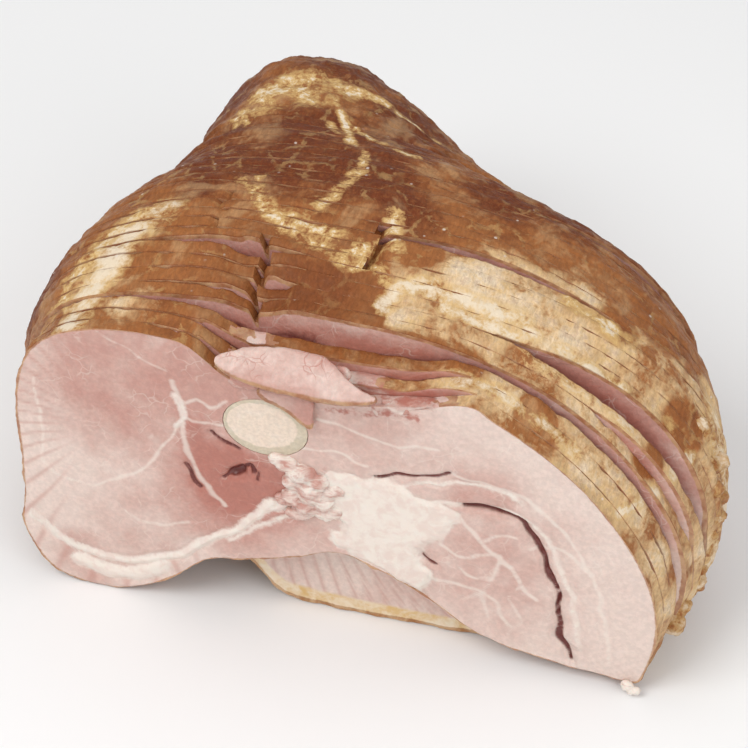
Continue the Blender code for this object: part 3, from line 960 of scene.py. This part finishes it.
def shut_share(number, rim, centre, turn):
    """How far shut each side of a slice's rim is against its neighbours, from 0 to 1."""
    found = []
    for other, column in ((number - 1, 2), (number + 1, 3)):
        if other == 0 or other > len(SLICES):
            found.append(np.zeros(len(rim)))
            continue
        beside = RIMS[other - 1]
        gap = np.abs(facing(beside, beside[:, 5 - column], centre, turn) - rim[:, column])
        seam = np.stack([rim[:, 0], np.full(len(rim), 9.0 * max(number, other)), rim[:, 1]], axis=1)
        right = ease((rim[:, 0] + 20) / 30)
        share = 0.5 + 1.6 * rough(seam, 16.0, 5.0) + 0.5 * right - 0.25 * (rim[:, 0] < -20)
        found.append(ease(share) * (gap < OPEN_FROM))
    return found


def bore(depth, turn):
    """The edge of a slice's bore at a depth, in each direction."""
    x, z, wide, high = bone_at(depth)
    reach = 1 / np.hypot(np.cos(turn) / (wide + BORE_GAP), np.sin(turn) / (high + BORE_GAP))
    return np.stack([x + reach * np.cos(turn), np.full(len(turn), depth), z + reach * np.sin(turn)], axis=1)


def slice_rows(number, around, front_shares, sizes):
    """A slice's points, [around][section]: front face from bone to rim, rim, and back face to the bone."""
    rim = spline(RIMS[number - 1], count=around, closed=True)
    middle_depth = rim[:, 2:].mean()
    centre = bone_at(middle_depth)[:2]
    turn = np.arctan2(rim[:, 1] - centre[1], rim[:, 0] - centre[0])
    points = points_of(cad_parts[SLICES[number - 1]])
    by_bone = points[from_bone(points, middle_depth) < BORE_REACH][:, 1]
    outward = rim[:, :2] - centre
    outward /= np.linalg.norm(outward, axis=1)[:, None]
    lean = leans(number, rim, centre, turn)
    rim[:, :2] -= outward * split_depth(number, rim[:, 0], rim[:, 1])[:, None]
    shut = shut_share(number, rim, centre, turn)
    rim[:, 2] -= CLOSER + (SHUT - CLOSER) * shut[0]
    rim[:, 3] += CLOSER + (SHUT - CLOSER) * shut[1]
    scallop = 0.4 * np.abs(np.sin(np.arange(around) * SCALLOPS * math.pi / around)) ** 0.5
    bitten = ease((5.5 - number) / 2) * (1 - shut[1])
    bite = bitten * scallop * (rim[:, 1] > 20)
    rim[:, 3] += bite - 0.35 * bitten
    rim[:, 2] += 0.25 * bite * (number > 1)
    faces = []
    for side, depth in enumerate((by_bone.min(), by_bone.max())):
        edge = np.stack([rim[:, 0], rim[:, 2 + side], rim[:, 1]], axis=1)
        edge[:, [0, 2]] += (lean[side] - sizes.rim_round)[:, None] * outward
        faces.append((bore(depth, turn), edge))
    section = [inner + share * (edge - inner) for inner, edge in faces[:1] for share in front_shares]
    for share in ACROSS_RIM:
        point = np.stack([rim[:, 0], rim[:, 2] + share * (rim[:, 3] - rim[:, 2]), rim[:, 1]], axis=1)
        tucked = sizes.rim_round if share in (0.0, 1.0) else -0.1 * math.sin(math.pi * share)
        leaning = lean[0] * max(1 - 2 * share, 0) + lean[1] * max(2 * share - 1, 0)
        point[:, [0, 2]] += (leaning - tucked)[:, None] * outward
        section.append(point)
    section += [inner + share * (edge - inner) for inner, edge in faces[1:] for share in reversed(FEW_RINGS)]
    return np.stack(section, axis=1), shut


def wall_marks(face, points, edge, number):
    """Turns the marks of the cut face into those of a gap's wall: painted shade makes it rosier and darker,
    it has no seams of fat or cracks, and the widest gap's walls get painted shadow away from the rim.
    """
    high = ease((points[:, 2] - WALL_FOOT) / WALL_RISE)
    # Painted shade: the walls are made rosier, more so above their foot.
    painted_wall_shade = 0.5 * rough(points * (1, 2.5, 1), 26.0, number) + 0.2 + 0.55 * high
    face["fat"] = np.where(face["fat"] > 0, -0.3, face["fat"])
    face["rosy"] = np.clip(face["rosy"] * 0.4 + painted_wall_shade, 0, 1)
    face["crack_shade"][:] = OUTSIDE
    # Painted shade: dark lean spreads over the walls farther from the rim, above their foot.
    face["dark"] = np.clip(1.1 * (edge - 6.0), -8, 4.5) * high + OUTSIDE * (1 - high)
    # Painted shadow: on the walls of the widest gap the crack mark darkens the meat away from the rim.
    if number in WIDE_STEP:
        middle = ease((48 - np.abs(points[:, 0] + 28)) / 30) * high
        face["crack_shade"] = np.clip((edge - 8.5) / 4, OUTSIDE, 0) - (1 - middle)


def tear_rind(marks, slots, points, low_x, high_x):
    """Bares the meat under the rind along a ragged stretch of a slice's rim."""
    across = points[:, 0] + 6.0 * rough(points, 3.5, 2.0)
    inside = np.minimum(across - low_x, high_x - across)
    near = (inside > -5) & (points[:, 2] > 80) & (marks["on_rim"] > 0)
    slots[near.reshape(slots.shape)] = 0
    marks["edge"] = np.where(near, 0.7 + 1.2 * inside, marks["edge"])
    marks["rosy"] = np.where(near & (inside > -2), 0.55 + 0.5 * rough(points, 5.0, 3.0), marks["rosy"])


def make_slice(number, sizes):
    """A slice over its solid: cut faces, and a wrinkled rim of rind that is torn and split in places."""
    first = number == 1
    around = sizes.face_around if number <= LAST_FINE else sizes.around
    shares = [*np.linspace(0, 1, sizes.face_rings + 1)[:-1], LAST_RING] if first else FEW_RINGS
    rows, shut = slice_rows(number, around, shares, sizes)
    points = rows.reshape(-1, 3)
    front = len(shares)
    back = front + len(ACROSS_RIM) - 1
    edge = np.linalg.norm(rows - rows[:, front:front + 1], axis=2).ravel()
    marks = rind_marks(points)
    face, relief = face_marks(points[:, [0, 2]])
    marks["knife"] = knife_marks(points, edge)
    marks["yellow_rind"] = (points[:, 2] < 26) & (np.abs(points[:, 0]) < 62) & (3 <= number <= 7)
    if first:
        marks["edge"] = edge
        swell = rough(points * (1, 0, 1), 30.0, 3.0) * 0.5 + rough(points * (1, 0, 1), 9.0, 5.0) * 0.2
        rows[:, 1:front - 1, 1] += (relief + swell).reshape(rows.shape[:2])[:, 1:front - 1]
    else:
        marks["edge"] = edge - 1.0
        wall_marks(face, points, edge, number)
    marks.update(face)
    on_rim = np.zeros(rows.shape[:2])
    on_rim[:, front:back + 1] = 1
    on_rim[:, [front - 1, back + 1]] = 0.6
    # The seam mark paints shade along the rind's edge where a neighbouring slice has parted.
    seam = np.zeros(rows.shape[:2])
    seam[:, front] = 0 if first else 1 - shut[0]
    seam[:, back] = 1 - shut[1]
    slots = np.zeros(rows.shape[:2], int)
    slots[:, front:back] = 1
    marks.update({"on_rim": on_rim.ravel(), "seam": seam.ravel()})
    if number in TORN_RIND:
        tear_rind(marks, slots, points, *TORN_RIND[number])
    if number < 3:
        marks["blood"] = streak_mask(points, BLOODY)
    name = SLICES[number - 1]
    obj = wrapped_grid(name + "_dressed", rows, slots, marks)
    weights = np.empty(len(obj.data.vertices), np.float32)
    obj.data.attributes["on_rim"].data.foreach_get("value", weights)
    weigh(obj, "rim", weights)
    roughen(obj, "rim", f"wrinkles {number}", 7.0, sizes.wrinkle)
    roughen(obj, "rim", f"pores {number}", 1.6, sizes.pore)
    place(obj, "sliced_meat", name)


def make_shank():
    """The uncut end, from its solid: merged, smoothed by subdivision and wrinkled."""
    obj = copy_of("shank_end", "shank_end_dressed")
    bpy.ops.object.mode_set(mode="EDIT")
    bpy.ops.mesh.select_mode(type="EDGE")
    bpy.ops.mesh.select_all(action="DESELECT")
    bpy.ops.mesh.edges_select_sharp(sharpness=math.radians(48))
    bpy.ops.transform.edge_crease(value=0.9)
    bpy.ops.mesh.select_mode(type="VERT")
    bpy.ops.object.mode_set(mode="OBJECT")
    modify(obj, "SUBSURF", levels=3, render_levels=3)
    points = points_of(obj)
    front = points[:, 1] < points[:, 1].min() + 0.4
    by_bone = from_bone(points, points[:, 1]) < bone_at(points[:, 1])[2] + 2
    count = len(points)
    marks = {**rind_marks(points), **plain_meat(count), "rosy": 0.75 + 0.4 * rough(points, 9.0, 4.0)}
    marks["edge"] = np.full(count, 9.0)
    store_marks(obj, marks)
    coat(obj, "rind", "cut")
    low, high = points[:, 1].min() + 0.5, points[:, 1].max() - 0.8
    for part in obj.data.polygons:
        depth = (part.center[1] - ZERO[1]) / MM
        if abs(part.normal.y) > 0.93 and (depth < low or depth > high):
            part.material_index = 1
    weigh(obj, "skin", np.where(front | by_bone, 0.0, 1.0))
    for label, size, height in (("folds", 16.0, 1.7), ("creases", 9.0, 1.0), ("wrinkles", 5.0, 0.7),
                                ("pores", 1.6, 0.2)):
        roughen(obj, "skin", "shank " + label, size, height)
    place(obj, "rind", "shank_end")


def make_bone():
    """The leg bone, its ends pitted inside a compact edge of bone that is drawn wider on the lower right as
    painted shade.
    """
    obj = copy_of("bone", "bone_dressed")
    modify(obj, "BEVEL", width=0.8 * MM, segments=2)
    bpy.ops.object.mode_set(mode="EDIT")
    bpy.ops.mesh.select_all(action="DESELECT")
    bpy.ops.object.mode_set(mode="OBJECT")
    for face in obj.data.polygons:
        face.select = abs(face.normal.y) > 0.99
    bpy.ops.object.mode_set(mode="EDIT")
    for _ in range(5):
        bpy.ops.mesh.inset(thickness=1.4 * MM)
    bpy.ops.object.mode_set(mode="OBJECT")
    points = points_of(obj)
    x, z, wide, high = bone_at(points[:, 1])
    reach = np.hypot((points[:, 0] - x) / wide, (points[:, 2] - z) / high)
    # The ring is set off the bone's middle, so the darker edge comes out wider on the lower right: painted
    # shade.
    ring = np.hypot((points[:, 0] - x + 1.2) / (wide * 1.02), (points[:, 2] - z - 0.9) / (high * 0.97))
    store_marks(obj, {"hard_rim_and_shade": np.where(np.abs(reach - 1) < 0.06, 1.0, np.clip(ring, 0, 1))})
    coat(obj, "bone")
    weigh(obj, "ends", np.where(reach < 0.96, 1.0, 0.0))
    roughen(obj, "ends", "bone pits", 2.5, 0.35)
    place(obj, "bone", "bone")


# Height of the rind along a loose slice's lower edge.
LEAF_RIND = 2.6


def make_leaf(node):
    """A loose slice lying on the cut face: its solid, rounded, with rind along its lower edge."""
    obj = copy_of(node, node + "_dressed")
    modify(obj, "SUBSURF", levels=3, render_levels=3)
    points = points_of(obj)
    columns = np.round(points[:, 0]).astype(int)
    lowest = {column: points[columns == column, 2].min() for column in np.unique(columns)}
    up = points[:, 2] - [lowest[column] for column in columns]
    marks = {**plain_meat(len(points)), "rosy": 0.6 + 0.45 * rough(points, 12.0, 9.0),
             "edge": 0.7 + (up - LEAF_RIND) / 1.4, "dry": np.ones(len(points))}
    store_marks(obj, marks)
    coat(obj, "cut")
    weigh(obj, "all", np.ones(len(points)))
    roughen(obj, "all", node + " waves", 11.0, 1.2)
    roughen(obj, "all", node + " grain", 2.0, 0.15)
    place(obj, "sliced_meat", node)


def lumps(name, balls, rawness, voxel, relief, finish="torn"):
    """Torn meat: balls given as (x, y, z, radius, stretch x, stretch z), fused and roughened."""
    draw = random.Random(name)
    made = []
    for x, y, z, radius, wide, tall in balls:
        bpy.ops.mesh.primitive_ico_sphere_add(subdivisions=3, radius=radius * MM,
                                              location=to_frame((x, y, z)))
        ball = bpy.context.active_object
        ball.scale = (wide, 0.8, tall)
        ball.rotation_euler = (draw.uniform(-0.3, 0.3), draw.uniform(-0.6, 0.6), 0)
        made.append(ball)
    select_only(made[0])
    for ball in made:
        ball.select_set(True)
    bpy.ops.object.join()
    obj = bpy.context.active_object
    obj.name = obj.data.name = name
    bpy.ops.object.transform_apply(location=True, rotation=True, scale=True)
    obj.data.remesh_voxel_size = voxel * MM
    bpy.ops.object.voxel_remesh()
    bpy.ops.object.shade_smooth()
    points = points_of(obj)
    store_marks(obj, {"cream": 0.62 + 0.3 * rough(points, 4.0, 2.0),
                      "raw": rawness + 0.5 * rough(points, 5.0, 3.0)})
    weigh(obj, "all", np.ones(len(points)))
    roughen(obj, "all", name + " folds", 4.0, relief)
    roughen(obj, "all", name + " grain", 1.4, relief * 0.3)
    coat(obj, finish)
    settle(obj)
    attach(obj, "root")


# x, y, z, radius, stretch in x and stretch in z of the balls that each lump starts from.
GRISTLE = (
    (-11, 0.2, 77, 4.2, 1.6, 0.8), (-6, 0.0, 74, 4.4, 1.3, 1.0), (-1, 0.2, 71, 4.2, 1.3, 0.9),
    (-8, 0.2, 69, 4.0, 1.2, 1.2), (-3, -0.4, 66, 4.6, 1.1, 1.3), (1, 0.2, 63, 4.0, 1.2, 1.2),
    (-9, 0.2, 62, 3.8, 1.2, 1.1), (-4, 0.0, 59, 4.0, 1.2, 1.0), (3, 0.3, 58, 3.8, 1.4, 0.9),
    (-7, 0.4, 55, 3.4, 1.5, 0.8), (-12, 0.3, 60, 3.0, 1.3, 0.8), (5, 0.4, 68, 3.6, 1.4, 0.9),
)
TORN_BITS = (
    (3, 1.5, 116, 2.4, 0.9, 2.0), (7, 3.0, 118, 2.4, 1.4, 1.2), (5, 2.0, 112, 1.8, 0.8, 1.8),
    (19, 0.4, 107.5, 1.2, 0.8, 2.6), (23, 1.5, 110, 1.4, 1.8, 0.7), (29, 0.6, 108.5, 1.1, 0.8, 2.0),
    (14, 2.0, 110.5, 1.6, 1.8, 0.8), (34, 2.2, 111.5, 1.4, 1.8, 0.7),
)
# The fold that the loose slice hangs from, between it and the slices' torn tops.
FOLD = tuple(
    ball for x in range(-26, 5, 5)
    for ball in ((x, 3.5, 112.5, 3.0, 1.7, 0.8), (x, 1.0, 109.5, 2.8, 1.7, 1.0))
)
LOOSE_FAT = ((108, -1.5, 3.2, 2.2, 1.2, 1.0), (111, -2.0, 2.2, 1.8, 1.0, 0.9),
             (109.5, -2.6, 1.8, 1.4, 1.0, 0.8))
# The line along which flakes of fat stand out from the ham's right edge, and their number.
FLAKE_LINE = ((122, 48, 80), (128, 44, 68), (130, 40, 54), (129, 34, 40), (127, 28, 28), (122, 20, 18))
FLAKES = 26


def edge_flakes():
    """Ragged flakes of fat that stand out along the right edge, as balls for lumps."""
    draw = random.Random(11)
    return [
        (x - 5 + draw.uniform(-0.6, 0.6), y + draw.uniform(-5, 3), z + draw.uniform(-2, 2),
         draw.uniform(3.5, 4.6), draw.uniform(1.0, 1.5), draw.uniform(0.7, 1.3))
        for x, y, z in spline(FLAKE_LINE, count=FLAKES)
    ]


class HAM_OT_slices(bpy.types.Operator):
    """Model every slice over its solid"""

    bl_idname = "ham.slices"
    bl_label = "Slices"

    def execute(self, context):
        for number in range(1, len(SLICES) + 1):
            make_slice(number, context.scene.ham_sizes)
        return {"FINISHED"}


class HAM_OT_shank(bpy.types.Operator):
    """Model the uncut end"""

    bl_idname = "ham.shank"
    bl_label = "Shank end"

    def execute(self, context):
        make_shank()
        return {"FINISHED"}


class HAM_OT_bone(bpy.types.Operator):
    """Model the leg bone"""

    bl_idname = "ham.bone"
    bl_label = "Bone"

    def execute(self, context):
        make_bone()
        return {"FINISHED"}


class HAM_OT_loose_slices(bpy.types.Operator):
    """Model the two slices that lie over the cut face"""

    bl_idname = "ham.loose_slices"
    bl_label = "Loose slices"

    def execute(self, context):
        make_leaf("folded_slice")
        make_leaf("second_slice")
        return {"FINISHED"}


class HAM_OT_trimmings(bpy.types.Operator):
    """Model the gristle, the torn bits, the fold, the flakes and the scrap of fat"""

    bl_idname = "ham.trimmings"
    bl_label = "Gristle and torn bits"

    def execute(self, context):
        lumps("gristle", GRISTLE, 0.36, 0.6, 1.3)
        lumps("torn_bits", TORN_BITS, 0.75, 0.5, 0.5)
        lumps("fold", FOLD, 0.85, 0.6, 0.5)
        lumps("edge_flakes", edge_flakes(), 0.0, 0.8, 1.4, "rind")
        lumps("loose_fat", LOOSE_FAT, 0.0, 0.5, 0.2)
        return {"FINISHED"}


# What the camera and the lights point at, and each light's name, place in metres, power and size.
TARGET = (0.0, 70.0, 58.0)
LIGHTS = (
    ("key", (-0.7, -0.8, 1.3), 12, 0.9),
    ("fill", (0.9, -0.9, 0.9), 7, 1.2),
    ("top", (0.1, 0.5, 1.4), 3, 1.0),
)


class HAM_OT_stage(bpy.types.Operator):
    """Set the floor, the lights and the camera"""

    bl_idname = "ham.stage"
    bl_label = "Stage"

    def execute(self, context):
        stage = context.scene.ham_stage
        bpy.ops.mesh.primitive_plane_add(size=6, location=(0, 0, -0.0005))
        floor = context.active_object
        floor.name = "floor"
        made, _, surface = new_material("floor")
        surface["Base Color"].default_value = (0.9, 0.9, 0.9, 1)
        surface["Roughness"].default_value = 0.9
        floor.data.materials.append(made)
        world = bpy.data.worlds.new("studio")
        world.use_nodes = True
        sky = world.node_tree.nodes["Background"].inputs
        sky["Color"].default_value = (1, 1, 1, 1)
        sky["Strength"].default_value = 0.5
        context.scene.world = world
        target = Vector(to_frame(TARGET))
        for name, spot, power, size in LIGHTS:
            bpy.ops.object.light_add(type="AREA", location=spot)
            light = context.active_object
            light.name = name
            light.data.energy = power
            light.data.size = size
            light.rotation_euler = (target - Vector(spot)).to_track_quat("-Z", "Y").to_euler()
        turn, rise = stage.azimuth, stage.elevation
        back = Vector((math.sin(turn) * math.cos(rise), -math.cos(turn) * math.cos(rise), math.sin(rise)))
        bpy.ops.object.camera_add(location=target + back * stage.distance)
        camera = context.active_object
        camera.rotation_euler = (-back).to_track_quat("-Z", "Y").to_euler()
        camera.data.lens = stage.lens
        camera.data.sensor_width = 36
        camera.data.clip_end = 20
        context.scene.camera = camera
        context.scene.view_settings.view_transform = "Standard"
        return {"FINISHED"}


class HAM_PT_panel(bpy.types.Panel):
    """Buttons for each piece of the ham"""

    bl_idname = "HAM_PT_panel"
    bl_label = "Spiral-sliced ham"
    bl_space_type = "VIEW_3D"
    bl_region_type = "UI"
    bl_category = "Ham"

    def draw(self, context):
        for operator in OPERATORS:
            self.layout.operator(operator.bl_idname)
        for group in (context.scene.ham_sizes, context.scene.ham_colours, context.scene.ham_stage):
            for name in group.bl_rna.properties.keys():
                if name not in ("rna_type", "name"):
                    self.layout.prop(group, name)


GROUPS = (("ham_sizes", HamSizes), ("ham_colours", HamColours), ("ham_stage", HamStage))
OPERATORS = (HAM_OT_slices, HAM_OT_shank, HAM_OT_bone, HAM_OT_loose_slices, HAM_OT_trimmings, HAM_OT_stage)


def register():
    for name, group in GROUPS:
        bpy.utils.register_class(group)
        setattr(bpy.types.Scene, name, PointerProperty(type=group))
    for operator in OPERATORS:
        bpy.utils.register_class(operator)
    bpy.utils.register_class(HAM_PT_panel)


def unregister():
    bpy.utils.unregister_class(HAM_PT_panel)
    for operator in reversed(OPERATORS):
        bpy.utils.unregister_class(operator)
    for name, group in reversed(GROUPS):
        delattr(bpy.types.Scene, name)
        bpy.utils.unregister_class(group)


def main():
    register()
    bpy.ops.ham.slices()
    bpy.ops.ham.shank()
    bpy.ops.ham.bone()
    bpy.ops.ham.loose_slices()
    bpy.ops.ham.trimmings()
    bpy.ops.ham.stage()


if __name__ == "__main__":
    main()
